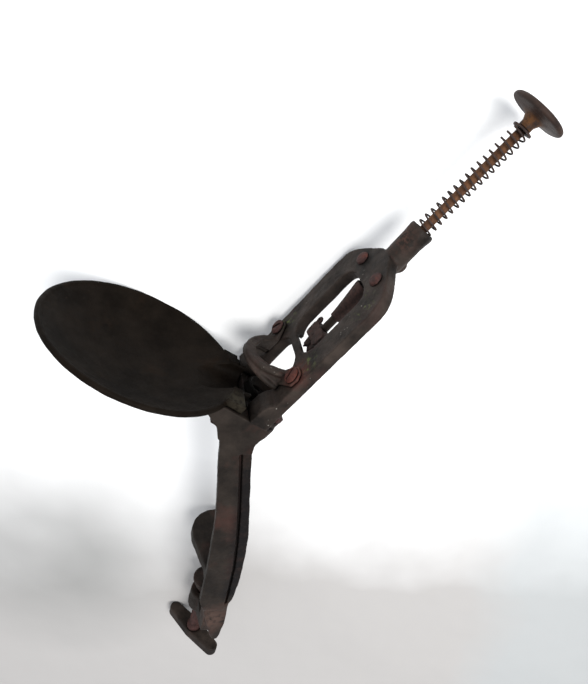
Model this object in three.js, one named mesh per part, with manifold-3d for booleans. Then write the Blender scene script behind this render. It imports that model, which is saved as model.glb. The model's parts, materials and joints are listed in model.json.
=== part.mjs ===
// Cherry stoner: a sprung hand plunger in a cast frame, a feed tray and a table clamp.
// Millimetres, +Z up. +Y runs in over the table, and the tray reaches out along -X.
// The origin is the centre of the clamp jaw's contact face, on the clamp screw's axis.
import * as THREE from "three";
import { mergeVertices } from "three/addons/utils/BufferGeometryUtils.js";
import Module from "manifold-3d";

// Driving dimensions
const gap = 0.3; // left between pieces that touch
const holeGap = 0.2; // radial, between a shank and its hole
const runningGap = 0.08; // radial, between pieces that turn or slide in each other
const seat = new THREE.Vector3(-3, -7.5, 112); // where the plunger's axis meets the cherry seat
const plungerLean = THREE.MathUtils.degToRad(28); // from the vertical, towards +X
const traySlope = THREE.MathUtils.degToRad(17); // the tray rises away from the seat

const rodRadius = 2;
const rodBore = rodRadius + runningGap;

// Plunger frame, in its own axes: x from the tray side (-) to the back (+), y across, z up the plunger
const frame = {
  halfWidth: 26.5,
  front: -5.5,
  plateBack: -2.7,
  back: 0.5,
  wall: 3,
  foot: 3,
  shoulder: 76,
  neckRoot: 97,
  neckTop: 115,
  neckRadius: 5.7,
  neckFlare: 6.3,
  openHalf: 13,
  openRim: 2,
  doorTop: 34.5,
  slotBottom: 38.5,
  slotTop: 80,
};
const recess = { radius: 5, depth: 2 }; // spring seat in the neck's end
const guide = { top: 90, cut: 79, nose: 58.5, plateHalf: 13, plateLow: 81 };
const rivet = { z: 86.5, y: 10.5, shank: 2, head: 3.6, dome: 1.6 };
const hoodScrew = { z: 31.3, y: 20.3, shank: 2, head: 4, headHeight: 1.7 };
const rearLug = { low: 93, high: 100, back: 6.5, half: 3 };
const flange = { back: 8.4, top: 6, outer: 23.3 };
const footScrew = { x: 4.4, y: 18, shank: 2, head: 3.4, headHeight: 2.8, tip: -3 };

// Hood: a U-shaped band that stands out from the frame over the doorway, tall at its root and low in front
const hood = { inner: 12.6, reach: 13.2, thick: 3.6, lip: 22, lipHeight: 3.4, rootLow: 21, rootHigh: 29.5, tab: 1.4 };

const cup = { stoneHole: 5.4, outer: 9.3 };

// Saddle on top of the leg, in the plunger frame's axes
const saddle = {
  front: -30.5,
  top: frame.foot - gap,
  bottom: -3.5,
  inner: 14.5,
  outer: 25,
  bridgeTop: -8,
  bridgeBottom: -14,
  bridgeFront: -17.8,
  bridgeBack: -5.5,
  plateFront: -9,
  stoneHole: 5.7,
};

// Tray, in its own axes: x towards the seat (+), so the bowl lies at -x
const bowl = {
  centre: -62,
  halfLength: 46,
  halfWidth: 43.6,
  rim: 9.1,
  depth: 12,
  wall: 2.5,
  band: 0.9,
  bandHeight: 2.2,
};
const channel = { half: 9.8, wall: 2.4, floor: 2, end: -9.8, far: -30 };
const trayBolt = { x: -13, shank: 2.4, head: 4.6, headHeight: 3.4, top: -3.2 };

// Plunger
const knob = { z: 178, radius: 13.2, edge: 3.2, hubLow: 170.6, hubRadius: 3, hubTop: 4.4 };
const crosshead = { low: 43, high: 51, half: 7, depth: 2.4, pin: 0.8 };
const blade = { low: 38, hub: 2.1, finHalf: 4.9, finDepth: 2.3, thick: 1.2 };
const spring = { mean: 3.9, wire: 0.5, turns: 16.5 };
const washer = { inner: 2.4, outer: 4.7, thick: 0.8 };

// Clamp, in the part's own axes
const jaw = { radius: 16.5, thick: 6.6, rootHalf: 10 };
const leg = { front: -32.5, plateBack: -27.5, webBack: -17, web: 3, ribStep: 1.5, groove: 1.6 };
const boss = { radius: 8, low: -64, high: -50 };
const pad = { radius: 8.3, top: -38, height: 6 };
const screw = { radius: 3.6, low: -96.5, collar: 4.6, collarHeight: 3 };
const wing = { z: -93, length: 44, half: 4, thick: 6.5, turn: THREE.MathUtils.degToRad(-51) };

const wasm = await Module();
wasm.setup();

// A closed geometry as a manifold-3d solid.
function solid(geometry) {
  const bare = geometry.index ? geometry.toNonIndexed() : geometry.clone();
  bare.deleteAttribute("normal");
  bare.deleteAttribute("uv");
  const merged = mergeVertices(bare, 1e-4);
  return new wasm.Manifold(
    new wasm.Mesh({
      numProp: 3,
      vertProperties: merged.attributes.position.array,
      triVerts: new Uint32Array(merged.index.array),
    }),
  );
}

// A manifold-3d solid as a geometry.
function geometryOf(made) {
  const mesh = made.getMesh();
  const geometry = new THREE.BufferGeometry();
  geometry.setAttribute("position", new THREE.BufferAttribute(new Float32Array(mesh.vertProperties), 3));
  geometry.setIndex(new THREE.BufferAttribute(new Uint32Array(mesh.triVerts), 1));
  geometry.computeVertexNormals();
  return geometry;
}

function union(parts) {
  return parts.reduce((whole, part) => whole.add(part));
}

function cut(body, tools) {
  return tools.reduce((left, tool) => left.subtract(tool), body);
}

function shapeOf(points) {
  return new THREE.Shape(points.map(([u, v]) => new THREE.Vector2(u, v)));
}

// A smooth outline through the points, mirrored about u = 0 and closed.
function mirroredShape(points) {
  return shapeOf([...points, ...points.map(([u, v]) => [-u, v]).reverse()]);
}

function roundedRect(low, high, radius) {
  const [u0, v0] = low;
  const [u1, v1] = high;
  const shape = new THREE.Shape();
  shape.moveTo(u0 + radius, v0);
  shape.lineTo(u1 - radius, v0);
  shape.absarc(u1 - radius, v0 + radius, radius, -Math.PI / 2, 0);
  shape.lineTo(u1, v1 - radius);
  shape.absarc(u1 - radius, v1 - radius, radius, 0, Math.PI / 2);
  shape.lineTo(u0 + radius, v1);
  shape.absarc(u0 + radius, v1 - radius, radius, Math.PI / 2, Math.PI);
  shape.lineTo(u0, v0 + radius);
  shape.absarc(u0 + radius, v0 + radius, radius, Math.PI, 1.5 * Math.PI);
  return shape;
}

function prism(shape, depth) {
  return new THREE.ExtrudeGeometry(shape, { depth, bevelEnabled: false, curveSegments: 5 });
}

// Prisms of a shape drawn in (y, z), in (x, z) and in (x, y).
function alongX(shape, low, high) {
  const turn = new THREE.Matrix4().makeBasis(
    new THREE.Vector3(0, 1, 0),
    new THREE.Vector3(0, 0, 1),
    new THREE.Vector3(1, 0, 0),
  );
  return solid(prism(shape, high - low).applyMatrix4(turn).translate(low, 0, 0));
}

function alongY(shape, low, high) {
  return solid(prism(shape, high - low).rotateX(Math.PI / 2).translate(0, high, 0));
}

function alongZ(shape, low, high) {
  return solid(prism(shape, high - low).translate(0, 0, low));
}

function box(low, high) {
  const size = high.map((value, i) => value - low[i]);
  const middle = high.map((value, i) => (value + low[i]) / 2);
  return solid(new THREE.BoxGeometry(...size).translate(...middle));
}

// A solid of revolution about Z from (radius, z) pairs, anticlockwise and closed or on the axis.
function turned(points, segments = 24) {
  const profile = points.map(([radius, z]) => new THREE.Vector2(radius, z));
  return solid(new THREE.LatheGeometry(profile, segments).rotateX(Math.PI / 2));
}

function rod(radius, low, high, segments = 16) {
  return turned([[0, low], [radius, low], [radius, high], [0, high]], segments);
}

function ring(inner, outer, low, high, segments = 24) {
  return turned([[inner, low], [outer, low], [outer, high], [inner, high], [inner, low]], segments);
}

// A rod along Y at (x, z), from y low to y high.
function crossRod(radius, x, z, low, high, segments = 16) {
  return rod(radius, low, high, segments).rotate([-90, 0, 0]).translate([x, 0, z]);
}

// A rod along X at (y, z), from x low to x high.
function fullRod(radius, y, z, low, high, segments = 16) {
  return rod(radius, low, high, segments).rotate([0, 90, 0]).translate([0, y, z]);
}

const degrees = THREE.MathUtils.radToDeg;

// From the plunger frame's axes to the part's.
function fromFrame(made) {
  return made.rotate([0, degrees(plungerLean), 0]).translate(seat.toArray());
}

// Colours
const castIron = { color: 0x38322d, roughness: 0.62, metalness: 0.75 };
const darkIron = { color: 0x221f1b, roughness: 0.7, metalness: 0.6 };
const rustySteel = { color: 0x5a3a28, roughness: 0.8, metalness: 0.45 };
const fastenerSteel = { color: 0x4a2f26, roughness: 0.72, metalness: 0.55 };
const springSteel = { color: 0x3a332e, roughness: 0.5, metalness: 0.85 };

const object = new THREE.Group();

function addPart(name, made, look) {
  const mesh = new THREE.Mesh(geometryOf(made), new THREE.MeshStandardMaterial(look));
  mesh.name = name;
  object.add(mesh);
}

// Half the frame's outline, from the foot to the neck, moved in by inset.
function frameHalfOutline(inset) {
  const half = frame.halfWidth - inset;
  const shoulder = new THREE.CubicBezierCurve(
    new THREE.Vector2(half, frame.shoulder),
    new THREE.Vector2(half, frame.shoulder + 12),
    new THREE.Vector2(frame.neckRadius + 9, frame.neckRoot - 7 - inset),
    new THREE.Vector2(frame.neckRadius - 0.5, frame.neckRoot - inset),
  );
  return shoulder.getPoints(9).map((point) => [point.x, point.y]);
}

// A flange behind each column's foot, held down by a screw.
function frameFlanges() {
  const inner = frame.openHalf + 0.4;
  return [-1, 1].map((side) =>
    alongZ(
      shapeOf([
        [frame.plateBack - 0.5, side * inner],
        [flange.back, side * inner],
        [flange.back, side * 18],
        [flange.back - 2.6, side * 21.2],
        [2, side * flange.outer],
        [frame.plateBack - 0.5, side * flange.outer],
      ]),
      frame.foot,
      flange.top,
    ),
  );
}

// Toes at the foot of both columns, sloping forward onto the saddle.
function frameToes() {
  const slope = shapeOf([
    [frame.front + 0.5, frame.foot],
    [frame.front + 0.5, 16.6],
    [frame.front, 16.6],
    [frame.front - 2, 14.8],
    [frame.front - 3.4, 11.5],
    [frame.front - 3.8, frame.foot],
  ]);
  const inner = frame.openHalf + 0.4;
  return [
    alongY(slope, -frame.halfWidth, -inner),
    alongY(slope, inner, frame.halfWidth),
  ];
}

// The neck: a round boss for the rod, flared at its end, where the spring sits in a recess.
function frameNeck() {
  const { neckRoot, neckTop, neckRadius, neckFlare } = frame;
  return turned([
    [0, neckRoot - 6],
    [neckRadius - 0.3, neckRoot - 6],
    [neckRadius, neckRoot + 4],
    [neckRadius + 0.1, neckTop - 7],
    [neckFlare, neckTop - 1.5],
    [neckFlare - 0.5, neckTop],
    [recess.radius, neckTop],
    [recess.radius, neckTop - recess.depth],
    [0, neckTop - recess.depth],
  ]);
}

// Rims behind the plate that make both openings as deep as the outer wall, apart where the plunger passes.
function frameRims() {
  const half = frame.openHalf + frame.openRim;
  const deep = [frame.plateBack - 0.5, frame.back];
  const slotRim = roundedRect([-half, frame.slotBottom - frame.openRim], [half, frame.slotTop + 9], 9.5);
  const doorRim = roundedRect([-half, frame.foot - 20], [half, frame.doorTop + frame.openRim], 9.5);
  const belowGuide = box([-20, -30, 20], [20, 30, frame.slotTop]);
  const aboveFoot = box([-20, -30, frame.foot], [20, 30, 60]);
  const passHalf = crosshead.half + 1.5;
  const pass = box([frame.plateBack, -passHalf, 30], [20, passHalf, 45]);
  return [
    alongX(slotRim, ...deep).intersect(belowGuide).subtract(pass),
    alongX(doorRim, ...deep).intersect(aboveFoot).subtract(pass),
  ];
}

function plungerFrame() {
  const outer = mirroredShape([[frame.halfWidth, frame.foot], ...frameHalfOutline(0)]);
  const pocket = mirroredShape([
    [frame.halfWidth - frame.wall, frame.foot - 1],
    ...frameHalfOutline(frame.wall).slice(0, 8),
  ]);
  const body = alongX(outer, frame.front, frame.back);
  const hollow = alongX(pocket, frame.plateBack, frame.back + 1);
  const half = frame.openHalf;
  const slot = alongX(
    roundedRect([-half, frame.slotBottom], [half, frame.slotTop], 7.5),
    frame.front - 1,
    frame.back + 1,
  );
  const doorway = alongX(
    roundedRect([-half, frame.foot - 20], [half, frame.doorTop], 7.5),
    frame.front - 5,
    frame.back + 1,
  );
  const lug = alongY(
    roundedRect([-1, rearLug.low], [rearLug.back, rearLug.high], 3),
    -rearLug.half,
    rearLug.half,
  );
  const holes = [-1, 1].flatMap((side) => [
    fullRod(rivet.shank + holeGap, side * rivet.y, rivet.z, frame.front - 1, frame.back + 1),
    fullRod(hoodScrew.shank + holeGap, side * hoodScrew.y, hoodScrew.z, frame.front - 1, frame.back + 1),
    rod(footScrew.shank + holeGap, 0, 10).translate([footScrew.x, side * footScrew.y, 0]),
  ]);
  const bore = rod(rodBore, frame.slotTop, frame.neckTop + 1);
  const whole = union([
    body.subtract(hollow),
    ...frameRims(),
    ...frameFlanges(),
    ...frameToes(),
    lug,
    frameNeck(),
  ]);
  return cut(whole, [slot, doorway, bore, guideSpace(), ...holes]);
}

// Room behind the plate for the rod guide.
function guideSpace() {
  const half = guide.plateHalf + gap;
  return union([
    box([frame.plateBack, -half, guide.plateLow - gap], [frame.back + 1, half, guide.top + gap]),
    rod(5 + gap, guide.cut - 1, guide.top + gap).intersect(
      box([frame.plateBack, -6, 60], [8, 6, guide.top + gap]),
    ),
  ]);
}

// The rod guide: a tapered nose round the rod on a cross plate that the two rivets hold.
function rodGuide() {
  const nose = turned([
    [0, guide.nose],
    [rodRadius + 0.8, guide.nose],
    [rodRadius + 1.2, guide.nose + 5],
    [4.2, guide.nose + 12],
    [5, guide.cut - 2],
    [5, guide.top],
    [0, guide.top],
  ]);
  const groove = box([-6, 1, guide.nose + 8], [-3, 2.6, guide.top + 1]);
  const plate = alongX(
    roundedRect([-guide.plateHalf, guide.plateLow], [guide.plateHalf, guide.top], 3),
    frame.plateBack + gap,
    frame.plateBack + gap + 2.2,
  );
  const behindPlate = box([-10, -10, guide.cut], [frame.plateBack + gap, 10, guide.top + 1]);
  const holes = [-1, 1].map((side) =>
    fullRod(rivet.shank + holeGap, side * rivet.y, rivet.z, -10, 10),
  );
  return cut(nose.add(plate), [behindPlate, groove, rod(rodBore, 50, 100), ...holes]);
}

function guideRivet(side) {
  const front = frame.front - gap;
  const back = frame.plateBack + 2 * gap + 2.2;
  const dome = turned([
    [0, 0],
    [rivet.head, 0],
    [rivet.head * 0.8, rivet.dome * 0.7],
    [rivet.head * 0.4, rivet.dome],
    [0, rivet.dome],
  ]);
  const made = union([
    fullRod(rivet.shank, 0, 0, front - 0.5, back + 0.5),
    dome.rotate([0, -90, 0]).translate([front, 0, 0]),
    fullRod(rivet.head - 0.7, 0, 0, back, back + 1.1),
  ]);
  return made.translate([0, side * rivet.y, rivet.z]);
}

// The hood's band, U-shaped from above, with a tab each side for its screw.
function feedHood() {
  const { inner, reach, thick, lip, lipHeight, rootLow, rootHigh, tab } = hood;
  const face = frame.front - gap;
  const bend = (extra) => {
    const half = inner + extra;
    const shape = new THREE.Shape();
    shape.moveTo(face + 1, half);
    shape.lineTo(face, half);
    shape.bezierCurveTo(
      face - (reach + extra) * 1.33, half,
      face - (reach + extra) * 1.33, -half,
      face, -half,
    );
    shape.lineTo(face + 1, -half);
    return shape;
  };
  const front = face - reach - thick;
  const side = shapeOf([
    [face + 1, rootLow],
    [face + 1, rootHigh],
    [face - 4, rootHigh - 2.2],
    [front, lip],
    [front, lip - lipHeight],
    [face - 6, rootLow + 0.5],
  ]);
  const wall = solid(prism(bend(thick), 40)).subtract(solid(prism(bend(0), 60).translate(0, 0, -10)));
  const band = wall.intersect(alongY(side, -40, 40));
  const tabShape = (hand) =>
    shapeOf([
      [hand * (inner + 0.2), rootLow + 1],
      [hand * (inner + thick), rootLow + 1],
      [hand * (hoodScrew.y + 4.4), hoodScrew.z - 3],
      [hand * (hoodScrew.y + 4.7), hoodScrew.z + 1.5],
      [hand * (hoodScrew.y + 2.4), hoodScrew.z + 4.4],
      [hand * (hoodScrew.y - 2.4), hoodScrew.z + 4.4],
      [hand * (inner + 0.2), rootHigh],
    ]);
  const tabs = [-1, 1].map((hand) => alongX(tabShape(hand), face - tab, face));
  const holes = [-1, 1].map((hand) =>
    fullRod(hoodScrew.shank + holeGap, hand * hoodScrew.y, hoodScrew.z, face - 6, face + 1),
  );
  const room = box([face, -40, 0], [face + 5, 40, 60]);
  return cut(union([band, ...tabs]), [room, ...holes]);
}

function hoodScrewSolid(side) {
  const face = frame.front - 2 * gap - hood.tab;
  const head = turned([
    [0, 0],
    [hoodScrew.head, 0],
    [hoodScrew.head, hoodScrew.headHeight * 0.55],
    [hoodScrew.head * 0.7, hoodScrew.headHeight],
    [0, hoodScrew.headHeight],
  ]);
  const driverSlot = box([-6, -0.6, hoodScrew.headHeight - 0.9], [6, 0.6, 6]);
  const made = head
    .subtract(driverSlot)
    .rotate([0, -90, 0])
    .rotate([side * 25, 0, 0])
    .translate([face, 0, 0])
    .add(fullRod(hoodScrew.shank, 0, 0, face - 0.5, frame.back + 2));
  return made.translate([0, side * hoodScrew.y, hoodScrew.z]);
}

// The seat cup: a dished ring under the plunger with a hole that lets the stone through.
function seatCup() {
  const { stoneHole, outer } = cup;
  const low = frame.foot;
  return turned([
    [stoneHole, low],
    [outer, low],
    [outer, low + 4.2],
    [outer - 0.8, low + 4.8],
    [stoneHole + 1.8, low + 2.4],
    [stoneHole, low + 1.4],
    [stoneHole, low],
  ]).translate([0, 0, gap]);
}

function footScrewSolid(side) {
  const { x, y, shank, head, headHeight, tip } = footScrew;
  const under = flange.top + gap;
  const hex = rod(head, under, under + headHeight, 6);
  return hex.add(rod(shank, tip, under + 0.5)).translate([x, side * y, 0]);
}

// The top of the leg: a plate under the frame, and two cheeks that reach forward under the tray.
function saddleSolid() {
  const { front, top, bottom, inner, outer, bridgeTop, bridgeBottom, bridgeFront, bridgeBack } = saddle;
  const cheek = new THREE.Shape();
  cheek.moveTo(bridgeBack, bottom);
  cheek.lineTo(2, bottom);
  cheek.lineTo(2, top);
  cheek.lineTo(front + 3.1, top);
  cheek.absarc(front + 3.1, top - 3.1, 3.1, Math.PI / 2, 1.2 * Math.PI);
  cheek.lineTo(-27.9, -4.4);
  cheek.lineTo(-18.7, -8.8);
  cheek.lineTo(-14, bridgeBottom);
  cheek.lineTo(bridgeBack, bridgeBottom);
  const plan = shapeOf([
    [saddle.plateFront, -inner - 1],
    [saddle.plateFront, inner + 1],
    [-3, outer],
    [3.3, outer],
    [flange.back - 2, 21.5],
    [flange.back, 18.2],
    [flange.back, -18.2],
    [flange.back - 2, -21.5],
    [3.3, -outer],
    [-3, -outer],
  ]);
  const cheeks = [
    [-outer, -inner],
    [inner, outer],
  ].map(([low, high]) => alongY(cheek, low, high));
  const bridge = box([bridgeFront, -inner - 1, bridgeBottom], [bridgeBack, inner + 1, bridgeTop]);
  const screwHoles = [-1, 1].map((side) =>
    rod(footScrew.shank + holeGap, footScrew.tip - gap, 10).translate([footScrew.x, side * footScrew.y, 0]),
  );
  const boltHole = rod(trayBolt.shank + holeGap, -20, 0).translate([trayBolt.x, 0, 0]);
  const stoneHole = rod(saddle.stoneHole, -20, 10, 24);
  const trayRoom = trayOutside(gap).intersect(box([-150, -60, -60], [channel.end + gap, 60, 60]));
  const whole = union([alongZ(plan, bottom, top), ...cheeks, bridge]);
  return cut(whole, [...screwHoles, boltHole, stoneHole, trayRoom]);
}

// The leg's front plate, seen from the front: it leans down from the saddle, then hangs straight.
function legPlate() {
  const outline = shapeOf([
    [-24.6, 115],
    [-21.6, 109],
    [-20, 100.5],
    [-18.6, 88],
    [-16.1, 74],
    [-13.2, 53],
    [-12, 37.6],
    [-10.1, 9],
    [-9.5, -17.3],
    [-6.5, -24],
    [6, -24],
    [9.4, -16.6],
    [10.2, 0],
    [9, 22],
    [7.4, 38],
    [1.7, 68],
    [-2, 89],
    [-3.8, 98.7],
    [-3.5, 103.8],
    [0.5, 111.4],
    [0, 116],
  ]);
  const plate = alongY(outline, leg.front, leg.plateBack);
  const stepEdge = [
    [-10, 98],
    [-5.8, 75],
    [-1.9, 53.4],
    [1, 34],
    [3.5, 13],
    [5.5, -30],
  ];
  const step = shapeOf([...stepEdge, [30, -30], [30, 98]]);
  const groove = shapeOf([...stepEdge, ...stepEdge.map(([x, z]) => [x + leg.groove, z]).reverse()]);
  const aboveSaddle = fromFrame(box([-60, -60, saddle.top - 1], [60, 60, 60]));
  return plate
    .subtract(alongY(step, leg.front - 1, leg.front + leg.ribStep))
    .subtract(alongY(groove, leg.front - 1, leg.front + leg.ribStep + leg.groove))
    .subtract(aboveSaddle);
}

// The web down the back of the plate.
function legWeb() {
  const { web } = leg;
  const outline = shapeOf([
    [-web, -24],
    [web, -24],
    [web, 24],
    [0.5, 56],
    [-5.5, 98],
    [-13.5, 98],
    [-6.5, 56],
    [-web, 24],
  ]);
  return alongY(outline, leg.plateBack - 1, leg.webBack);
}

// The upper jaw: a round tongue that narrows to the leg, with a rib on top.
function upperJaw() {
  const outline = new THREE.Shape();
  const tangent = THREE.MathUtils.degToRad(14);
  outline.moveTo(-jaw.rootHalf, leg.plateBack - 1);
  outline.lineTo(jaw.rootHalf, leg.plateBack - 1);
  outline.lineTo(jaw.rootHalf, -25);
  outline.absarc(0, 0, jaw.radius, -tangent, Math.PI + tangent);
  outline.lineTo(-jaw.rootHalf, -25);
  const rib = shapeOf([
    [leg.webBack - 1, 0.5],
    [2, jaw.thick - 0.5],
    [2, jaw.thick + 0.5],
    [leg.webBack - 1, 24],
  ]);
  const plate = prism(outline, jaw.thick);
  return solid(plate).add(alongX(rib, -2.5, 2.5));
}

// The lower arm: a tapered tongue in front and a web that carries the screw's boss.
function lowerArm() {
  const tongue = new THREE.Shape();
  tongue.moveTo(-7.5, -20);
  tongue.lineTo(-4, -32.7);
  tongue.lineTo(-0.1, -44.8);
  tongue.bezierCurveTo(2.4, -55.5, 7.4, -58, 8, -50);
  tongue.lineTo(8.9, -38);
  tongue.lineTo(7.6, -20);
  const web = shapeOf([
    [leg.front + 3, -20],
    [leg.front + 4, -50],
    [-8, boss.low + 1],
    [0, boss.low + 1],
    [0, boss.high - 1],
    [-10, boss.high],
    [leg.webBack - 3, -40],
    [leg.webBack, -20],
  ]);
  return union([
    alongY(tongue, leg.front + 0.6, leg.plateBack + 1),
    alongX(web, -3.5, 4.5),
    rod(boss.radius, boss.low, boss.high, 24),
  ]);
}

function clampLeg() {
  const whole = union([fromFrame(saddleSolid()), legPlate(), legWeb(), upperJaw(), lowerArm()]);
  const screwHole = rod(screw.radius + runningGap, boss.low - 20, boss.high + 1, 20);
  const throat = box([-30, leg.webBack + 0.01, boss.high + 0.01], [30, 60, -0.01]);
  return cut(whole, [screwHole, throat]);
}

// A solid of revolution stretched to the bowl's oval and moved to its centre.
function oval(points) {
  const stretch = bowl.halfLength / bowl.halfWidth;
  return turned(points, 40).scale([stretch, 1, 1]).translate([bowl.centre, 0, 0]);
}

// The bowl as a solid up to the height top, deeper by skin.
function dishSolid(skin, top) {
  const { halfWidth, rim, depth } = bowl;
  const steps = 8;
  const points = [[0, rim - depth - skin]];
  for (let i = 1; i <= steps; i += 1) {
    const out = i / steps;
    points.push([halfWidth * out, rim - (depth + skin) * (1 - out ** 2.2)]);
  }
  points.push([halfWidth, top], [0, top]);
  return oval(points);
}

// The flat disc that the rim's band is cut from, grown by skin.
function rimDisc(skin) {
  const { halfWidth, rim, band, bandHeight } = bowl;
  const low = rim - bandHeight - skin;
  const edge = halfWidth + band + skin;
  return oval([[0, low], [edge - 1, low], [edge, low + 0.8], [edge, rim + skin], [0, rim + skin]]);
}

// The channel's room, and the spout round it, grown outward by skin.
function channelRoom() {
  return alongX(
    roundedRect([-channel.half, channel.floor], [channel.half, bowl.rim + 20], 4.5),
    channel.far - 12,
    10,
  );
}

function spout(skin) {
  const half = channel.half + skin;
  return box([channel.far - 4, -half, channel.floor - skin], [2, half, bowl.rim]);
}

// From the tray's axes to the plunger frame's.
function trayToFrame(made) {
  return made.rotate([0, degrees(traySlope - plungerLean), 0]);
}

// The tray's underside, grown by skin, as the room it needs in the leg.
function trayOutside(skin) {
  return trayToFrame(
    union([dishSolid(bowl.wall + skin, bowl.rim), rimDisc(skin), spout(channel.wall + skin)]),
  );
}

// The feed tray: an oval dish that empties through a short channel and stands on the saddle.
function cherryTray() {
  const { rim, wall } = bowl;
  const shell = union([dishSolid(wall, rim), rimDisc(0), spout(channel.wall)]);
  const inside = union([dishSolid(0, rim + 20), channelRoom()]);
  const feet = [-1, 1].map((side) => {
    const slope = shapeOf([
      [-27, frame.foot],
      [channel.end - 4.2, frame.foot],
      [channel.end - 4.2, frame.foot + 4],
      [-27, frame.foot + 3],
    ]);
    return alongY(slope, side > 0 ? 10 : -23.5, side > 0 ? 18.5 : -10);
  });
  const stem = rod(4.8, saddle.bridgeTop + gap, 0).translate([trayBolt.x, 0, 0]);
  const boltHole = rod(trayBolt.shank + holeGap, -20, trayBolt.top + gap).translate([trayBolt.x, 0, 0]);
  const seatRoom = box([channel.end, -60, -60], [60, 60, 60]);
  const whole = union([trayToFrame(shell), ...feet, stem]);
  return fromFrame(cut(whole, [trayToFrame(inside), seatRoom, boltHole]));
}

function trayBoltSolid() {
  const under = saddle.bridgeBottom - gap;
  const head = rod(trayBolt.head, under - trayBolt.headHeight, under, 6);
  return head.add(rod(trayBolt.shank, under - 0.5, trayBolt.top)).translate([trayBolt.x, 0, 0]);
}

function plungerKnob() {
  const { z, radius, edge, hubLow, hubRadius, hubTop } = knob;
  const made = turned(
    [
      [0, hubLow],
      [hubRadius, hubLow],
      [hubRadius, hubLow + 2.4],
      [hubTop, z - 2.4],
      [hubTop + 3.4, z - 1.6],
      [radius - 0.9, z - 1.1],
      [radius - 0.2, z - 0.7],
      [radius, z],
      [radius - 0.3, z + edge * 0.3],
      [radius - 1.2, z + edge * 0.5],
      [radius * 0.5, z + edge * 0.7],
      [0, z + edge * 0.8],
    ],
    32,
  );
  return made.subtract(rod(rodRadius + holeGap, hubLow - 1, z - 1));
}

function crossheadSolid() {
  const { low, high, half, depth } = crosshead;
  const body = alongX(roundedRect([-half, low], [half, high], 2), -depth, depth);
  const socket = rod(rodRadius + holeGap, low + 2, high + 1);
  return cut(body, [socket, pinHole()]);
}

function pinHole() {
  return crossRod(crosshead.pin + holeGap, 0, crosshead.high - 3, -12, 12, 12);
}

function plungerRod() {
  return rod(rodRadius, crosshead.low + 2 + gap, knob.z - 1 - gap).subtract(pinHole());
}

// The pitting blade: four fins round a hub, each ground to a point.
function pittingBlade() {
  const { low, hub, finHalf, finDepth, thick } = blade;
  const top = crosshead.low - gap;
  const fin = (reach) =>
    shapeOf([
      [-reach * 0.75, low],
      [0, low + 1.5],
      [reach * 0.75, low],
      [reach, top],
      [-reach, top],
    ]);
  return union([
    rod(hub, low + 2, top),
    alongX(fin(finHalf), -thick / 2, thick / 2),
    alongY(fin(finDepth), -thick / 2, thick / 2),
  ]);
}

function returnSpring(low, high) {
  class Helix extends THREE.Curve {
    getPoint(t, target = new THREE.Vector3()) {
      const angle = -t * spring.turns * 2 * Math.PI;
      const rise = low + spring.wire + t * (high - low - 2 * spring.wire);
      return target.set(spring.mean * Math.cos(angle), spring.mean * Math.sin(angle), rise);
    }
  }
  const section = new THREE.Shape().absarc(0, 0, spring.wire, 0, 2 * Math.PI);
  const wire = new THREE.ExtrudeGeometry(section, {
    extrudePath: new Helix(),
    steps: Math.round(spring.turns * 12),
    curveSegments: 5,
    bevelEnabled: false,
  });
  return solid(wire);
}

function thumbScrew() {
  const collarLow = wing.z + wing.thick / 2;
  return union([
    rod(screw.radius, screw.low, pad.top - 3.4, 20),
    rod(screw.collar, collarLow, collarLow + screw.collarHeight, 20),
  ]).subtract(crossRod(1.5 + holeGap, 0, wing.z, -8, 8).rotate([0, 0, degrees(wing.turn) + 90]));
}

// The wing: a flat bar with two round lobes, pinned across the screw's end.
function thumbWing() {
  const { z, length, half, thick } = wing;
  const reach = length / 2;
  const shape = new THREE.Shape();
  shape.absarc(reach - half, 0, half, -Math.PI / 2, Math.PI / 2);
  shape.lineTo(0, half + 1.6);
  shape.absarc(-reach + half, 0, half, Math.PI / 2, 1.5 * Math.PI);
  shape.lineTo(0, -half - 1.6);
  const plate = prism(shape, thick).translate(0, 0, z - thick / 2);
  const bar = solid(plate).rotate([0, 0, degrees(wing.turn)]);
  const hole = rod(screw.radius + holeGap, screw.low - gap, 0, 20);
  const collarRoom = rod(screw.collar + gap, z + thick / 2 - gap, 0, 20);
  const crossHole = crossRod(1.5 + holeGap, 0, z, -8, 8).rotate([0, 0, degrees(wing.turn) + 90]);
  return cut(bar, [hole, collarRoom, crossHole]);
}

function wingPin() {
  return crossRod(1.5, 0, wing.z, -5.4, 5.4).rotate([0, 0, degrees(wing.turn) + 90]);
}

// The swivel pad: a cup that sits loose on the screw's end.
function swivelPad() {
  const { radius, top, height } = pad;
  const neck = screw.radius + runningGap;
  return turned([
    [0, top - 3],
    [neck, top - 3],
    [neck, top - height - 2],
    [neck + 2, top - height - 2],
    [radius - 1.5, top - height + 1],
    [radius, top - 1.6],
    [radius, top],
    [0, top],
  ], 20);
}

const neckFloor = frame.neckTop - recess.depth;
const springLow = neckFloor + 2 * gap + washer.thick;
const springHigh = knob.hubLow - 2 * gap - washer.thick;

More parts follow.
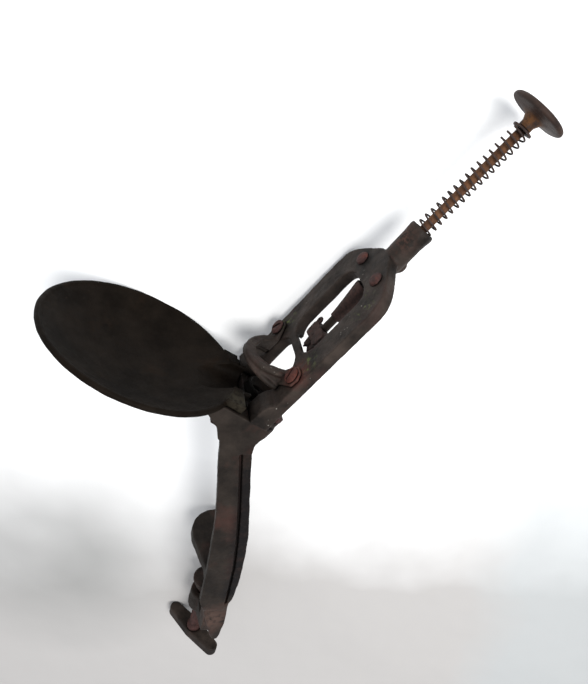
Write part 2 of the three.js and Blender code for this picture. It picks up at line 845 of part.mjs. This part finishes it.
addPart("clamp_leg", clampLeg(), castIron);
addPart("plunger_frame", fromFrame(plungerFrame()), castIron);
addPart("cherry_tray", cherryTray(), darkIron);
addPart("tray_bolt", fromFrame(trayBoltSolid()), fastenerSteel);
addPart("feed_hood", fromFrame(feedHood()), castIron);
addPart("seat_cup", fromFrame(seatCup()), darkIron);
addPart("rod_guide", fromFrame(rodGuide()), rustySteel);
for (const [name, side] of [["near", -1], ["far", 1]]) {
  addPart(`hood_screw_${name}`, fromFrame(hoodScrewSolid(side)), fastenerSteel);
  addPart(`guide_rivet_${name}`, fromFrame(guideRivet(side)), fastenerSteel);
  addPart(`foot_screw_${name}`, fromFrame(footScrewSolid(side)), fastenerSteel);
}
addPart(
  "spring_seat_washer",
  fromFrame(ring(washer.inner, washer.outer, neckFloor + gap, neckFloor + gap + washer.thick)),
  springSteel,
);
addPart("return_spring", fromFrame(returnSpring(springLow, springHigh)), springSteel);
addPart(
  "knob_washer",
  fromFrame(ring(washer.inner, washer.outer, springHigh + gap, springHigh + gap + washer.thick)),
  springSteel,
);
addPart("plunger_rod", fromFrame(plungerRod()), rustySteel);
addPart("plunger_knob", fromFrame(plungerKnob()), castIron);
addPart("crosshead", fromFrame(crossheadSolid()), rustySteel);
addPart(
  "crosshead_pin",
  fromFrame(crossRod(crosshead.pin, 0, crosshead.high - 3, -crosshead.half - 1, crosshead.half + 1)),
  fastenerSteel,
);
addPart("pitting_blade", fromFrame(pittingBlade()), rustySteel);
addPart("thumb_screw", thumbScrew(), fastenerSteel);
addPart("thumb_wing", thumbWing(), castIron);
addPart("wing_pin", wingPin(), fastenerSteel);
addPart("swivel_pad", swivelPad(), castIron);

export default object;
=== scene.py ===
"""The cherry stoner's looks: worn cast iron, rusted rod and spring, lying on a white sheet."""

import json
import math

import bmesh
import bpy
from mathutils import Matrix, Vector


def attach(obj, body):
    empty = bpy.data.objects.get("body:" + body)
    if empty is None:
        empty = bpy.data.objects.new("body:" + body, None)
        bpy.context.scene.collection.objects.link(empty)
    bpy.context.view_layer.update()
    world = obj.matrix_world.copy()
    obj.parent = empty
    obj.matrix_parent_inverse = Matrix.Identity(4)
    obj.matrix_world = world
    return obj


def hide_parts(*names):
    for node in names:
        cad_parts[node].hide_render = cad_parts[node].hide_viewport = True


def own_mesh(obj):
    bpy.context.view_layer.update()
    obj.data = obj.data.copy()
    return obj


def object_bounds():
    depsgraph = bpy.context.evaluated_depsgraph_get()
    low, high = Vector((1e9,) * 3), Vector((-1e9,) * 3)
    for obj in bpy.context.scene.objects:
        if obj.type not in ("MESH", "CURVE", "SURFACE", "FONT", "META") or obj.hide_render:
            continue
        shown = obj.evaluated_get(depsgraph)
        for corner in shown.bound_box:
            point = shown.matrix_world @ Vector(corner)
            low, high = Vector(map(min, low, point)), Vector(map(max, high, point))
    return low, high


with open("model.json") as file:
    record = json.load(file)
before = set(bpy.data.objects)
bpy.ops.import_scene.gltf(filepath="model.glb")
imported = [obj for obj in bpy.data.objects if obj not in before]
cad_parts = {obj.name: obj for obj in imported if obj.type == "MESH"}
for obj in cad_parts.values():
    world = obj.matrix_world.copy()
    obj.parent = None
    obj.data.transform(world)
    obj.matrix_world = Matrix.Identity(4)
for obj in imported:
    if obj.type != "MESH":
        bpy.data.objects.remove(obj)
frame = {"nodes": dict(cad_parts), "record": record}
cad_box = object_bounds()

MM = 0.001
SEAT = Vector((-3.0, -7.5, 112.0)) * MM  # where the plunger's axis meets the cherry seat
LEAN = math.radians(28)
FRAME_AXES = Matrix.Translation(SEAT) @ Matrix.Rotation(LEAN, 4, "Y")  # z runs up the plunger
PLUNGER_AXIS = FRAME_AXES.to_3x3() @ Vector((0, 0, 1))

# Camera: where it stands, and its right and forward directions, in the part's frame
CAMERA_AT = Vector((-70.9, -238.3, 290.4)) * MM
CAMERA_RIGHT = Vector((0.953, -0.175, 0.2467))
CAMERA_FORWARD = Vector((0.281, 0.817, -0.5035))
CAMERA_LENS = 31.5
CAMERA_SENSOR = 36

# The sheet that the tool lies on touches the tray's far rim, the frame's far shoulder and the wing
SHEET_POINTS = (
    Vector((-59.6, 36.6, 138.8)) * MM,
    Vector((34.6, 19.6, 182.0)) * MM,
    Vector((-13.8, 18.4, -93.0)) * MM,
)
SHEET_GAP = 0.3 * MM
SHEET_SIZE = 1.6

SPRING_LOW = 114.4 * MM  # along the plunger, from the seat
SPRING_HIGH = 169.2 * MM
SPRING_RADIUS = 3.9 * MM
SPRING_WIRE = 0.43 * MM
SPRING_TURNS = 16.5
SPRING_STEPS = 28  # in each turn
SPRING_WANDER = 0.1 * MM  # how far the radius strays
SPRING_WAVE = 23  # radians of that wave over the spring's length

# The tray, in millimetres in its own axes
TRAY_TILT = math.radians(17)
TRAY_AXES = Matrix.Translation(SEAT) @ Matrix.Rotation(TRAY_TILT, 4, "Y")
TRAY_CENTRE = -62
TRAY_HALF_LENGTH = 46
TRAY_HALF_WIDTH = 43.6
TRAY_RIM = 9.1
TRAY_MOUTH = 0.3  # half the angle that the channel takes out of the rim, in radians
TRAY_BEAD_DROP = 1.1  # from the rim's top to the bead's middle
TRAY_BEAD_STEPS = 180

# The hood, in millimetres in the plunger frame's axes
HOOD_FACE = -5.8
HOOD_HALF_WIDTH = 12.6
HOOD_REACH = 13.2
HOOD_BEAD_OUT = 2.7  # from the hood's inside to a bead's middle
HOOD_BEAD_STEPS = 40
HOOD_BULGE = 1.33  # a cubic arc reaches three quarters as far as its handles

BEAD_RADIUS = 1.5 * MM
TUBE_ROUNDNESS = 3


# ---------------------------------------------------------------- shapes


def link(name, data):
    """A new object in the scene, made of a mesh, curve, camera or light."""
    made = bpy.data.objects.new(name, data)
    bpy.context.scene.collection.objects.link(made)
    return made


def finished_mesh(name, made):
    """The mesh of a bmesh, which is freed."""
    mesh = bpy.data.meshes.new(name)
    made.to_mesh(mesh)
    made.free()
    return mesh


def apply_modifiers(piece):
    graph = bpy.context.evaluated_depsgraph_get()
    mesh = bpy.data.meshes.new_from_object(piece.evaluated_get(graph))
    piece.modifiers.clear()
    piece.data = mesh


def shade_smooth(piece):
    piece.data.polygons.foreach_set("use_smooth", [True] * len(piece.data.polygons))
    return piece


def body_of_node(node):
    bodies = frame["record"]["behaviour"]["bodies"]
    return next(name for name, nodes in bodies.items() if node in nodes)


def add_lumps(piece, height):
    """The uneven skin of an old sand casting, height in millimetres."""
    lumps = bpy.data.textures.new("lumps", "CLOUDS")
    lumps.noise_scale = 7 * MM
    lumps.noise_depth = 2
    swell = piece.modifiers.new("lumps", "DISPLACE")
    swell.texture = lumps
    swell.texture_coords = "LOCAL"
    swell.mid_level = 0.5
    swell.strength = height * MM


def recast(node, voxel, rounds, extras=(), lumps=0.0):
    """A CAD node as a casting: extra solids melted into it, its edges rounded, its facets gone."""
    made = bmesh.new()
    made.from_mesh(frame["nodes"][node].data)
    for extra in extras:
        made.from_mesh(extra)
    piece = link(node + "_cast", finished_mesh(node + "_cast", made))
    remesh = piece.modifiers.new("remesh", "REMESH")
    remesh.mode = "VOXEL"
    remesh.voxel_size = voxel * MM
    smooth = piece.modifiers.new("smooth", "SMOOTH")
    smooth.factor = 0.5
    smooth.iterations = rounds
    if lumps:
        add_lumps(piece, lumps)
    apply_modifiers(piece)
    shade_smooth(piece)
    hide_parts(node)
    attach(piece, body_of_node(node))
    return piece


def tube(points, radius):
    """A mesh tube along points, with flat ends."""
    curve = bpy.data.curves.new("tube", "CURVE")
    curve.dimensions = "3D"
    curve.bevel_depth = radius
    curve.bevel_resolution = TUBE_ROUNDNESS
    curve.use_fill_caps = True
    line = curve.splines.new("POLY")
    line.points.add(len(points) - 1)
    for spot, point in zip(line.points, points):
        spot.co = (*point, 1)
    holder = link("tube", curve)
    graph = bpy.context.evaluated_depsgraph_get()
    mesh = bpy.data.meshes.new_from_object(holder.evaluated_get(graph))
    bpy.data.objects.remove(holder)
    return mesh


def in_frame(x, y, z):
    """A point given in millimetres in the plunger frame's axes."""
    return FRAME_AXES @ (Vector((x, y, z)) * MM)


def spring_mesh():
    """The return spring: evenly spaced turns whose radius strays a little."""
    points = []
    steps = round(SPRING_TURNS * SPRING_STEPS)
    low = SPRING_LOW + SPRING_WIRE
    rise = SPRING_HIGH - SPRING_LOW - 2 * SPRING_WIRE
    for step in range(steps + 1):
        along = step / steps
        angle = -along * SPRING_TURNS * 2 * math.pi
        radius = SPRING_RADIUS + SPRING_WANDER * math.sin(along * SPRING_WAVE)
        spot = Vector((radius * math.cos(angle), radius * math.sin(angle), low + rise * along))
        points.append(FRAME_AXES @ spot)
    return tube(points, SPRING_WIRE)


def turned_mesh(profile, segments):
    """A solid of revolution round the plunger's axis from (radius, z) pairs in millimetres."""
    made = bmesh.new()
    rings = []
    for radius, z in profile:
        if radius == 0:
            rings.append([made.verts.new(in_frame(0, 0, z))])
            continue
        turn = [2 * math.pi * i / segments for i in range(segments)]
        rings.append(
            [made.verts.new(in_frame(radius * math.cos(a), radius * math.sin(a), z)) for a in turn]
        )
    for lower, upper in zip(rings, rings[1:]):
        for i in range(segments):
            j = (i + 1) % segments
            corners = [
                lower[i % len(lower)],
                lower[j % len(lower)],
                upper[j % len(upper)],
                upper[i % len(upper)],
            ]
            unique = list(dict.fromkeys(corners))
            if len(unique) > 2:
                made.faces.new(unique)
    bmesh.ops.recalc_face_normals(made, faces=made.faces)
    return finished_mesh("turned", made)


# ---------------------------------------------------------------- materials


# Nearly black painted shade with dirt, laid into corners by ambient occlusion
DIRT_AND_SHADE_COLOUR = (0.0015, 0.001, 0.0008)
DIRT_AND_SHADE_REACH = 12 * MM
BARE_CHIPS = (0.36, 0.34, 0.3)
OILED_STEEL = (0.02, 0.014, 0.01)
OILED_AT = SEAT + PLUNGER_AXIS * 60 * MM
OILED_REACH = 55 * MM


class Nodes:
    """A new node material with short calls for the nodes that these materials are made of."""

    def __init__(self, name):
        self.material = bpy.data.materials.new(name)
        self.material.use_nodes = True
        self.tree = self.material.node_tree
        self.shader = self.tree.nodes["Principled BSDF"]
        self.place = self.tree.nodes.new("ShaderNodeTexCoord").outputs["Object"]

    def link(self, source, target):
        self.tree.links.new(source, target)

    def noise(self, scale, detail=4.0, roughness=0.6, stretch=None):
        node = self.tree.nodes.new("ShaderNodeTexNoise")
        node.inputs["Scale"].default_value = scale
        node.inputs["Detail"].default_value = detail
        node.inputs["Roughness"].default_value = roughness
        place = self.place
        if stretch:
            mapping = self.tree.nodes.new("ShaderNodeMapping")
            mapping.inputs["Scale"].default_value = stretch
            mapping.inputs["Rotation"].default_value = (0, -LEAN, 0)
            self.link(self.place, mapping.inputs["Vector"])
            place = mapping.outputs["Vector"]
        self.link(place, node.inputs["Vector"])
        return node.outputs["Fac"]

    def specks(self, scale, size):
        """1 in small scattered spots, 0 elsewhere."""
        node = self.tree.nodes.new("ShaderNodeTexVoronoi")
        node.inputs["Scale"].default_value = scale
        self.link(self.place, node.inputs["Vector"])
        return self.ramp(node.outputs["Distance"], size, size * 0.5)

    def pointiness(self, low, high):
        node = self.tree.nodes.new("ShaderNodeNewGeometry")
        return self.ramp(node.outputs["Pointiness"], low, high)

    def ramp(self, value, low, high):
        """value taken from low..high to 0..1, clamped. low may be above high."""
        node = self.tree.nodes.new("ShaderNodeMapRange")
        node.inputs["From Min"].default_value = low
        node.inputs["From Max"].default_value = high
        self.link(value, node.inputs["Value"])
        return node.outputs["Result"]

    def maths(self, operation, first, second):
        node = self.tree.nodes.new("ShaderNodeMath")
        node.operation = operation
        for value, socket in zip((first, second), node.inputs):
            if isinstance(value, (int, float)):
                socket.default_value = value
            else:
                self.link(value, socket)
        return node.outputs["Value"]

    def near(self, spot, reach):
        """1 at a point in the part's frame, falling to 0 at reach."""
        node = self.tree.nodes.new("ShaderNodeVectorMath")
        node.operation = "DISTANCE"
        node.inputs[1].default_value = spot
        self.link(self.place, node.inputs[0])
        return self.ramp(node.outputs["Value"], reach, reach * 0.3)

    def mix(self, share, first, second):
        node = self.tree.nodes.new("ShaderNodeMix")
        node.data_type = "RGBA"
        for value, socket in ((first, node.inputs[6]), (second, node.inputs[7])):
            if isinstance(value, tuple):
                socket.default_value = (*value, 1)
            else:
                self.link(value, socket)
        self.link(share, node.inputs[0])
        return node.outputs[2]

    def bump(self, layers):
        """Bumps from (height, depth in millimetres) layers, one on top of the other."""
        normal = None
        for height, depth in layers:
            node = self.tree.nodes.new("ShaderNodeBump")
            node.inputs["Strength"].default_value = 1.0
            node.inputs["Distance"].default_value = depth * MM
            self.link(height, node.inputs["Height"])
            if normal:
                self.link(normal, node.inputs["Normal"])
            normal = node.outputs["Normal"]
        self.link(normal, self.shader.inputs["Normal"])

    def dirt_and_painted_shade(self, colour):
        """Painted shade with dirt, nearly black, in the corners that little light reaches."""
        node = self.tree.nodes.new("ShaderNodeAmbientOcclusion")
        node.samples = 6
        node.inputs["Distance"].default_value = DIRT_AND_SHADE_REACH
        return self.mix(self.ramp(node.outputs["AO"], 0.72, 0.22), colour, DIRT_AND_SHADE_COLOUR)

    def finish(self, colour, roughness, specular):
        """The material, never metallic: rust, dirt or paper covers it all."""
        self.link(colour, self.shader.inputs["Base Color"])
        self.link(roughness, self.shader.inputs["Roughness"])
        self.shader.inputs["Metallic"].default_value = 0.0
        self.shader.inputs["Specular IOR Level"].default_value = specular
        return self.material


def cast_iron(name, dark, light, rust, rust_share, stains_and_shade=(), chips=0.0, sheen=0.1):
    """Old sand-cast iron: mottled, rusty in the hollows, rubbed lighter on the edges.

    A stain or patch of painted shade is (where, reach in millimetres, colour, cover), and a cover of 1 or
    more is nearly solid."""
    n = Nodes(name)
    mottle = n.ramp(n.noise(70, 6, 0.62), 0.36, 0.66)
    base = n.mix(mottle, dark, light)
    blotches = n.ramp(n.noise(38, 5, 0.66), 0.56 - rust_share, 0.72 - rust_share * 0.5)
    hollows = n.pointiness(0.495, 0.465)
    rusty = n.maths("MAXIMUM", n.maths("MULTIPLY", blotches, 0.75), n.maths("MULTIPLY", hollows, 0.6))
    coloured = n.mix(rusty, base, rust)
    edges = n.maths("MULTIPLY", n.pointiness(0.52, 0.57), n.ramp(n.noise(260, 3), 0.4, 0.62))
    colour = n.mix(n.maths("MULTIPLY", edges, 0.4), coloured, tuple(2.2 * c for c in light))
    # Real stains, and patches of painted shade given the same way
    for where, reach, paint, cover in stains_and_shade:
        patchy = n.ramp(n.noise(330, 5, 0.7), 0.62 - 0.3 * cover, 0.7 - 0.2 * cover)
        mask = n.maths("MULTIPLY", n.near(where, reach * MM), patchy)
        colour = n.mix(mask, colour, paint)
    if chips:
        patchy = n.ramp(n.noise(55, 3), 0.62 - chips, 0.7 - chips)
        spots = n.maths("MULTIPLY", n.specks(420, 0.13), patchy)
        colour = n.mix(n.maths("MULTIPLY", spots, 0.8), colour, BARE_CHIPS)
    roughness = n.maths("ADD", n.maths("MULTIPLY", n.noise(180, 5), 0.3), 0.4)
    n.bump([(n.noise(120, 4), 0.5), (n.noise(900, 5, 0.7), 0.14), (n.noise(2600, 3, 0.7), 0.05)])
    # Painted shade with dirt darkens the corners
    return n.finish(n.dirt_and_painted_shade(colour), roughness, sheen)


def rusty_steel(name, dark, light, bright, bright_share, stretch=None, oiled=False):
    """Steel rusted all over, with brighter rust in patches. An oiled rod is dark below its guide."""
    n = Nodes(name)
    base = n.mix(n.ramp(n.noise(420, 6, 0.7, stretch), 0.36, 0.62), dark, light)
    patches = n.ramp(n.noise(130, 5, 0.7), 0.62 - bright_share, 0.74 - bright_share)
    colour = n.mix(n.maths("MULTIPLY", patches, 0.8), base, bright)
    if oiled:
        colour = n.mix(n.near(OILED_AT, OILED_REACH), colour, OILED_STEEL)
    roughness = n.maths("ADD", n.maths("MULTIPLY", n.noise(500, 4), 0.3), 0.5)
    n.bump([(n.noise(700, 5, 0.7, stretch), 0.2), (n.noise(2400, 3, 0.7), 0.1)])
    # Painted shade with dirt darkens the corners
    return n.finish(n.dirt_and_painted_shade(colour), roughness, 0.14)


def sheet_material():
    """White paper with painted shade towards its lower end and in a patch at the lower left; it also
    greys towards its right edge.
    """
    n = Nodes("white_sheet")
    axes = n.tree.nodes.new("ShaderNodeSeparateXYZ")
    n.link(n.place, axes.inputs["Vector"])
    folds = n.maths("MULTIPLY", n.maths("SUBTRACT", n.noise(7, 4, 0.55), 0.5), 0.14)
    # Painted shade: the sheet darkens towards its lower end
    lower_shade = n.ramp(n.maths("ADD", axes.outputs["Y"], folds), -0.07, -0.2)
    side = n.ramp(n.maths("ADD", axes.outputs["X"], folds), 0.11, 0.16)
    # corner is a patch of painted shade at the sheet's lower left
    corner = n.maths("MULTIPLY", n.near((-0.165, -0.16, 0), 0.11), n.ramp(n.noise(5, 3, 0.5), 0.2, 0.6))
    colour = n.mix(lower_shade, (0.92, 0.92, 0.92), (0.44, 0.425, 0.415))
    colour = n.mix(n.maths("MULTIPLY", corner, 0.8), colour, (0.26, 0.26, 0.255))
    colour = n.mix(n.maths("MULTIPLY", side, 0.55), colour, (0.42, 0.45, 0.46))
    roughness = n.maths("ADD", n.maths("MULTIPLY", n.noise(60, 2), 0.1), 0.8)
    n.bump([(n.noise(9, 3, 0.5), 6.0), (n.noise(700, 3, 0.6), 0.05)])
    material = n.finish(colour, roughness, 0.1)
    # The sheet shows from its upper side only, so that the tool's back can be seen.
    facing = n.tree.nodes.new("ShaderNodeNewGeometry").outputs["Backfacing"]
    clear = n.tree.nodes.new("ShaderNodeBsdfTransparent")
    either = n.tree.nodes.new("ShaderNodeMixShader")
    n.link(facing, either.inputs["Fac"])
    n.link(n.shader.outputs["BSDF"], either.inputs[1])
    n.link(clear.outputs["BSDF"], either.inputs[2])
    n.link(either.outputs["Shader"], n.tree.nodes["Material Output"].inputs["Surface"])
    return material


def dress(piece, material):
    piece.data.materials.clear()
    piece.data.materials.append(material)


# ---------------------------------------------------------------- the tool

FAR_SCREW = in_frame(-7.5, 20.3, 31.3)
NEAR_SCREW = in_frame(-7.5, -20.3, 31.3)
GREEN_PAINT = (0.075, 0.09, 0.03)
RED_RUST = (0.075, 0.024, 0.018)
BROWN_CRUST = (0.06, 0.036, 0.028)
ORANGE_RUST = (0.14, 0.06, 0.02)
TRAY_SCUFF = (0.027, 0.023, 0.016)
# Painted shade, nearly black, on the set-back strip beside the leg's rib
RIB_SHADE = (0.004, 0.003, 0.003)
# Spots along the edge of the leg's rib, as (x, z) in millimetres, where painted shade darkens the
# set-back strip
LEG_RIB_SHADE_SPOTS = (
    (-1.5, 85),
    (-0.5, 75),
    (1.5, 65),
    (2.5, 55),
    (3.5, 45),
    (5, 35),
    (6, 25),
    (7, 14),
    (7.5, 3),
    (8, -8),
)
BROWN_RUST = (0.05, 0.026, 0.02)
# Painted shadow of the hood over the throat, with dirt: nearly black round the throat
THROAT_SHADOW_AND_DIRT = (in_frame(-6, -4, 6), 17, (0.0012, 0.001, 0.0008), 1.5)

iron = cast_iron(
    "grey_iron",
    dark=(0.006, 0.0045, 0.0036),
    light=(0.036, 0.0265, 0.0215),
    rust=(0.034, 0.017, 0.0145),
    rust_share=0.04,
    stains_and_shade=(
        THROAT_SHADOW_AND_DIRT,
        (NEAR_SCREW + PLUNGER_AXIS * 0.002, 9, RED_RUST, 0.9),
        (NEAR_SCREW + PLUNGER_AXIS * 0.009, 7, GREEN_PAINT, 0.3),
        (FAR_SCREW + PLUNGER_AXIS * 0.006, 7, GREEN_PAINT, 0.4),
        (in_frame(-5.5, -17, 76), 9, GREEN_PAINT, 0.25),
        (in_frame(-6, 0, 106), 10, BROWN_RUST, 0.6),
    ),
    chips=0.06,
)
leg_iron = cast_iron(
    "leg_iron",
    dark=(0.009, 0.0065, 0.005),
    light=(0.026, 0.0195, 0.0155),
    rust=(0.042, 0.018, 0.014),
    rust_share=0.07,
    stains_and_shade=(
        THROAT_SHADOW_AND_DIRT,
        (Vector((-1, -31, -34)) * MM, 15, BROWN_CRUST, 0.8),
        *((Vector((x, -30, z)) * MM, 10, RIB_SHADE, 1.2) for x, z in LEG_RIB_SHADE_SPOTS),
    ),
    chips=0.02,
)
tray_iron = cast_iron(
    "tray_iron",
    dark=(0.0035, 0.0023, 0.0014),
    light=(0.0085, 0.006, 0.0042),
    rust=(0.0125, 0.0072, 0.004),
    rust_share=0.0,
    stains_and_shade=(THROAT_SHADOW_AND_DIRT, (in_frame(-18, -20, 7), 8, TRAY_SCUFF, 0.9)),
    sheen=0.035,
)
knob_iron = cast_iron(
    "knob_iron",
    dark=(0.012, 0.009, 0.008),
    light=(0.034, 0.023, 0.019),
    rust=(0.05, 0.026, 0.018),
    rust_share=0.08,
    stains_and_shade=((in_frame(0, 0, 174), 7, ORANGE_RUST, 0.8),),
)
rod_rust = rusty_steel(
    "rod_rust",
    dark=(0.075, 0.034, 0.018),
    light=(0.16, 0.073, 0.034),
    bright=(0.2, 0.08, 0.035),
    bright_share=0.08,
    stretch=(1, 1, 0.3),
    oiled=True,
)
head_rust = rusty_steel(
    "head_rust",
    dark=(0.014, 0.009, 0.0075),
    light=(0.04, 0.021, 0.017),
    bright=(0.055, 0.024, 0.02),
    bright_share=0.04,
)
fastener_rust = rusty_steel(
    "fastener_rust",
    dark=(0.022, 0.011, 0.01),
    light=(0.052, 0.024, 0.021),
    bright=(0.09, 0.03, 0.022),
    bright_share=0.05,
)
screw_rust = rusty_steel(
    "screw_rust",
    dark=(0.035, 0.013, 0.01),
    light=(0.08, 0.025, 0.018),
    bright=(0.17, 0.045, 0.026),
    bright_share=0.05,
)
spring_wire = rusty_steel(
    "spring_wire",
    dark=(0.02, 0.014, 0.012),
    light=(0.055, 0.034, 0.028),
    bright=(0.09, 0.042, 0.02),
    bright_share=0.03,
)


def lip_beads():
    """Rounded beads along the hood's top and bottom edges, each from its front's height to its root's."""
    beads = []
    out = HOOD_REACH + HOOD_BEAD_OUT
    depth = out * HOOD_BULGE
    half = HOOD_HALF_WIDTH + HOOD_BEAD_OUT
    for front, root in ((21.2, 27.6), (19.6, 19.4)):
        points = []
        for i in range(HOOD_BEAD_STEPS + 1):
            t = i / HOOD_BEAD_STEPS
            y = half * ((1 - t) ** 3 + 3 * t * (1 - t) ** 2 - 3 * t**2 * (1 - t) - t**3)
            x = 3 * depth * t * (1 - t)
            share = min(1.0, x / out)
            points.append(in_frame(HOOD_FACE - x, y, root + (front - root) * share))
        beads.append(tube(points, BEAD_RADIUS))
    return beads


def tray_rim_bead():
    """The rounded bead along the tray's rim, open where the channel leaves the dish."""
    points = []
    for i in range(TRAY_BEAD_STEPS + 1):
        turn = TRAY_MOUTH + (2 * math.pi - 2 * TRAY_MOUTH) * i / TRAY_BEAD_STEPS
        x = TRAY_CENTRE + TRAY_HALF_LENGTH * math.cos(turn)
        y = TRAY_HALF_WIDTH * math.sin(turn)
        points.append(TRAY_AXES @ (Vector((x, y, TRAY_RIM - TRAY_BEAD_DROP)) * MM))
    return tube(points, BEAD_RADIUS)


def web_root():
    """Where the web behind the leg grows into the saddle's underside."""
    low, high = 96, 109.5
    plate_side, table_side = -29, -17
    outline = ((-13.8, low), (-5.3, low), (-3.5, high), (-16, high))
    made = bmesh.new()
    front = [made.verts.new(Vector((x, plate_side, z)) * MM) for x, z in outline]
    back = [made.verts.new(Vector((x, table_side, z)) * MM) for x, z in outline]
    made.faces.new(front)
    made.faces.new(back)
    for i in range(len(outline)):
        j = (i + 1) % len(outline)
        made.faces.new((front[i], front[j], back[j], back[i]))
    bmesh.ops.recalc_face_normals(made, faces=made.faces)
    return finished_mesh("web_root", made)


def build_stand():
    dress(recast("clamp_leg", voxel=0.5, rounds=10, extras=[web_root()], lumps=0.5), leg_iron)
    dress(recast("plunger_frame", voxel=0.45, rounds=12, lumps=0.45), iron)
    tray = recast("cherry_tray", voxel=0.36, rounds=4, extras=[tray_rim_bead()], lumps=0.3)
    dress(tray, tray_iron)
    dress(recast("feed_hood", voxel=0.4, rounds=9, extras=lip_beads(), lumps=0.35), iron)
    dress(recast("seat_cup", voxel=0.35, rounds=4), tray_iron)
    dress(recast("rod_guide", voxel=0.35, rounds=5), head_rust)
    for node in ("guide_rivet_near", "guide_rivet_far", "tray_bolt"):
        dress(recast(node, voxel=0.25, rounds=4), fastener_rust)
    dress(recast("hood_screw_near", voxel=0.22, rounds=3), screw_rust)
    for node in ("hood_screw_far", "foot_screw_near", "foot_screw_far"):
        dress(recast(node, voxel=0.22, rounds=3), fastener_rust)


def crosshead_hook():
    """A curl of wire beside the crosshead, three quarters of a turn."""
    steps = 14
    radius = 1.4
    points = []
    for i in range(steps + 1):
        turn = math.radians(-60 + 270 * i / steps)
        points.append(in_frame(-2.2, 4.6 + radius * math.cos(turn), 52 + radius * math.sin(turn)))
    return tube(points, 0.6 * MM)


def build_plunger():
    head = recast("crosshead", voxel=0.3, rounds=5, extras=[crosshead_hook()], lumps=1.2)
    dress(head, head_rust)
    dress(recast("pitting_blade", voxel=0.2, rounds=2), head_rust)
    dress(recast("crosshead_pin", voxel=0.15, rounds=2), fastener_rust)
    dress(recast("plunger_knob", voxel=0.3, rounds=5, lumps=0.2), knob_iron)
    profile = [(0, 45.4), (1.6, 45.4), (2, 46), (2, 176), (0, 176.4)]
    rod = link("plunger_rod_bar", turned_mesh(profile, 48))
    shade_smooth(rod)
    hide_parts("plunger_rod")
    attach(rod, "plunger")
    dress(rod, rod_rust)


def build_spring():
    for node in ("spring_seat_washer", "knob_washer"):
        dress(recast(node, voxel=0.15, rounds=2), spring_wire)
    spring = link("return_spring_wire", spring_mesh())
    shade_smooth(spring)
    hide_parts("return_spring")
    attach(spring, "stand")
    dress(spring, spring_wire)
    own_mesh(spring)


def build_clamp():
    dress(recast("swivel_pad", voxel=0.3, rounds=4), iron)
    dress(recast("thumb_wing", voxel=0.4, rounds=7), iron)
    dress(recast("thumb_screw", voxel=0.35, rounds=3), fastener_rust)
    dress(recast("wing_pin", voxel=0.2, rounds=2), fastener_rust)


# ---------------------------------------------------------------- stage, light and camera


def camera_axes():
    forward = CAMERA_FORWARD.normalized()
    right = (CAMERA_RIGHT - forward * CAMERA_RIGHT.dot(forward)).normalized()
    return right, right.cross(forward), forward


def add_camera():
    right, up, forward = camera_axes()
    data = bpy.data.cameras.new("camera")
    data.lens = CAMERA_LENS
    data.sensor_width = CAMERA_SENSOR
    data.clip_start = 0.01
    camera = link("camera", data)
    turn = Matrix((right, up, -forward)).transposed()
    camera.matrix_world = Matrix.Translation(CAMERA_AT) @ turn.to_4x4()
    bpy.context.scene.camera = camera


def add_sheet():
    """A sheet through the three resting points, its own x and y along the picture's."""
    first, second, third = SHEET_POINTS
    normal = (second - first).cross(third - first).normalized()
    if normal.y > 0:
        normal = -normal
    right, _, forward = camera_axes()
    reach = (first - CAMERA_AT).dot(normal) / forward.dot(normal)
    middle = CAMERA_AT + forward * reach - normal * SHEET_GAP
    across = (right - normal * right.dot(normal)).normalized()
    made = bmesh.new()
    bmesh.ops.create_grid(made, x_segments=60, y_segments=60, size=SHEET_SIZE)
    sheet = shade_smooth(link("sheet", finished_mesh("sheet", made)))
    turn = Matrix((across, normal.cross(across), normal)).transposed()
    sheet.matrix_world = Matrix.Translation(middle) @ turn.to_4x4()
    sheet.data.materials.append(sheet_material())


def add_light(name, right_m, up_m, back_m, size, power, colour):
    """A soft area light placed by the camera's axes from the tool's middle, facing it."""
    right, up, forward = camera_axes()
    middle = (cad_box[0] + cad_box[1]) / 2
    data = bpy.data.lights.new(name, "AREA")
    data.shape = "DISK"
    data.size = size
    data.energy = power
    data.color = colour
    lamp = link(name, data)
    place = middle + right * right_m + up * up_m - forward * back_m
    turn = (middle - place).to_track_quat("-Z", "Y").to_matrix().to_4x4()
    lamp.matrix_world = Matrix.Translation(place) @ turn


def add_world():
    world = bpy.data.worlds.new("studio")
    world.use_nodes = True
    background = world.node_tree.nodes["Background"]
    background.inputs["Color"].default_value = (0.93, 0.96, 1.0, 1)
    background.inputs["Strength"].default_value = 0.85
    bpy.context.scene.world = world


build_stand()
build_plunger()
build_spring()
build_clamp()
add_camera()
add_sheet()
add_world()
add_light("key", 0.42, -0.3, 1.0, 0.6, 13.0, (1.0, 0.99, 0.97))
add_light("fill", -0.7, 0.9, 0.6, 0.9, 4.0, (0.95, 0.97, 1.0))
bpy.context.scene.view_settings.view_transform = "Standard"
